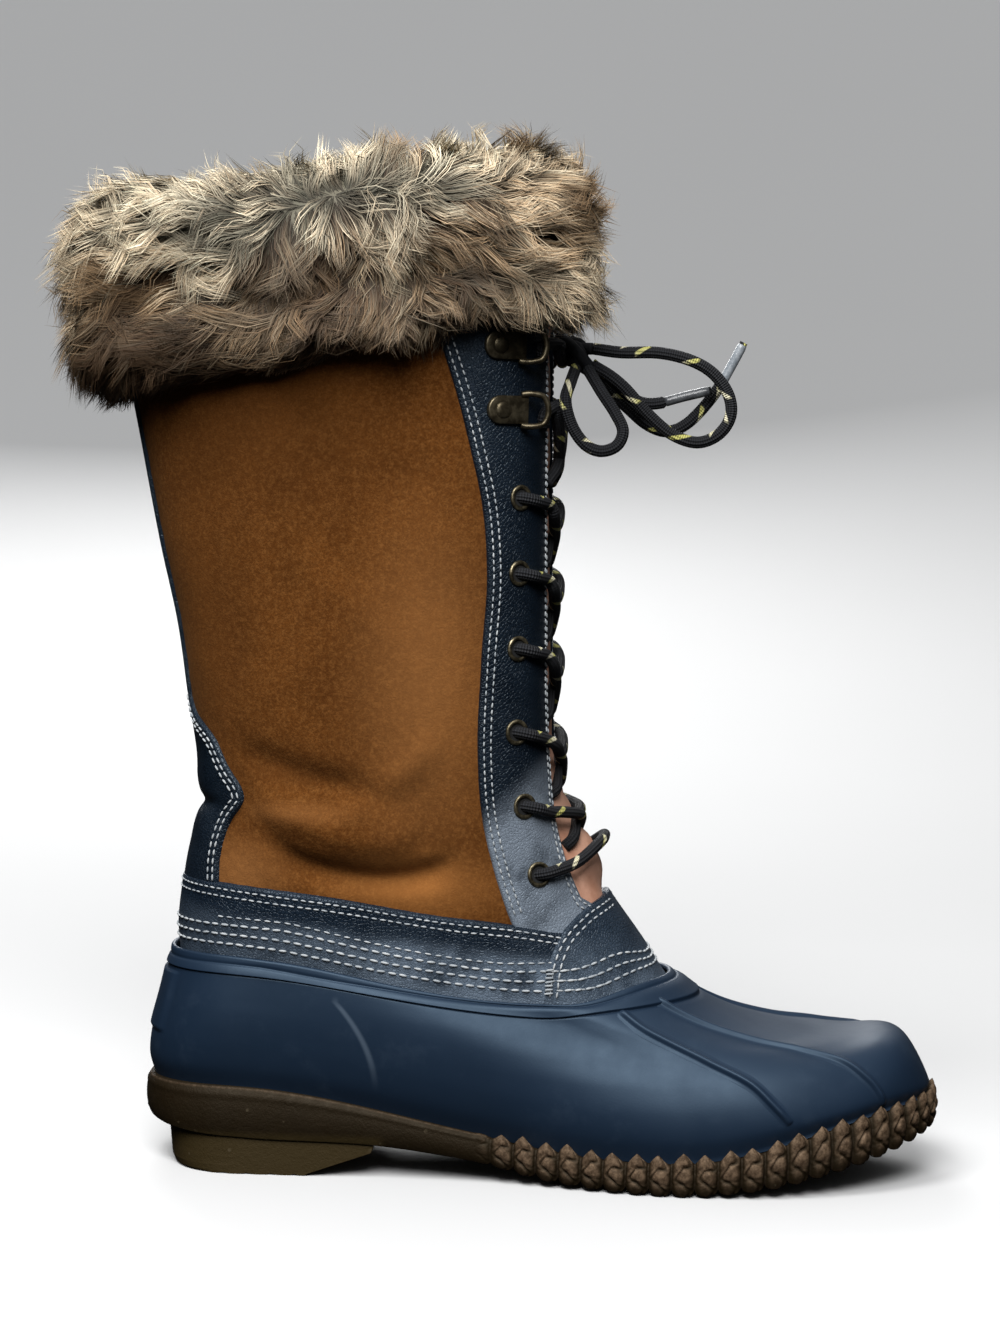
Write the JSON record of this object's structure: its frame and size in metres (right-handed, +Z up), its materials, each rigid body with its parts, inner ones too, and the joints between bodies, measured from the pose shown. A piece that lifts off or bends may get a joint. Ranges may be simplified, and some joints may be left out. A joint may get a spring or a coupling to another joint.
{
  "type": "duck boot",
  "caption": "Tall laced duck boot for the right foot: moulded rubber lower on a lugged sole, suede shaft with leather trim, a deep fur cuff and a tied lace.",
  "frame": {"origin": "middle of the heel's flat ground face, under the boot's centre line", "axes": "+X toward the toe, +Y toward the inner (medial) side of the foot, +Z up the shaft"},
  "size_m": [0.3203, 0.1402, 0.3696],
  "materials": {
    "gum_rubber": "matt moulded gum rubber",
    "felt": "felted footbed cloth",
    "navy_rubber": "satin moulded rubber",
    "suede": "napped suede",
    "navy_leather": "grained leather, semi-matt",
    "tan_leather": "smooth leather",
    "fur": "long pile imitation fur",
    "brass": "aged, satin",
    "lace": "braided cord with light flecks"
  },
  "bodies": {
    "root": {"outsole": "gum_rubber", "insole": "felt", "rubber_shell": "navy_rubber", "upper": "suede", "ankle_band": "navy_leather", "throat_piece": "navy_leather", "eyestay_right": "navy_leather", "eyestay_left": "navy_leather", "back_stay": "navy_leather", "tongue": "tan_leather", "fur_cuff": "fur", "eyelet_right_1": "brass", "eyelet_right_2": "brass", "eyelet_right_3": "brass", "eyelet_right_4": "brass", "eyelet_right_5": "brass", "eyelet_right_6": "brass", "eyelet_left_1": "brass", "eyelet_left_2": "brass", "eyelet_left_3": "brass", "eyelet_left_4": "brass", "eyelet_left_5": "brass", "eyelet_left_6": "brass", "hook_right_1": "brass", "hook_right_2": "brass", "hook_left_1": "brass", "hook_left_2": "brass", "lace_knot": "lace", "lace_loop_big": "lace", "lace_loop_small": "lace", "lace_end_1": "lace", "lace_end_2": "lace", "lace_cross_1": "lace", "lace_cross_2": "lace", "lace_cross_3": "lace", "lace_cross_4": "lace", "lace_cross_5": "lace", "lace_cross_hooks": "lace", "lace_bar": "lace", "lace_top": "lace"}
  },
  "joints": []
}
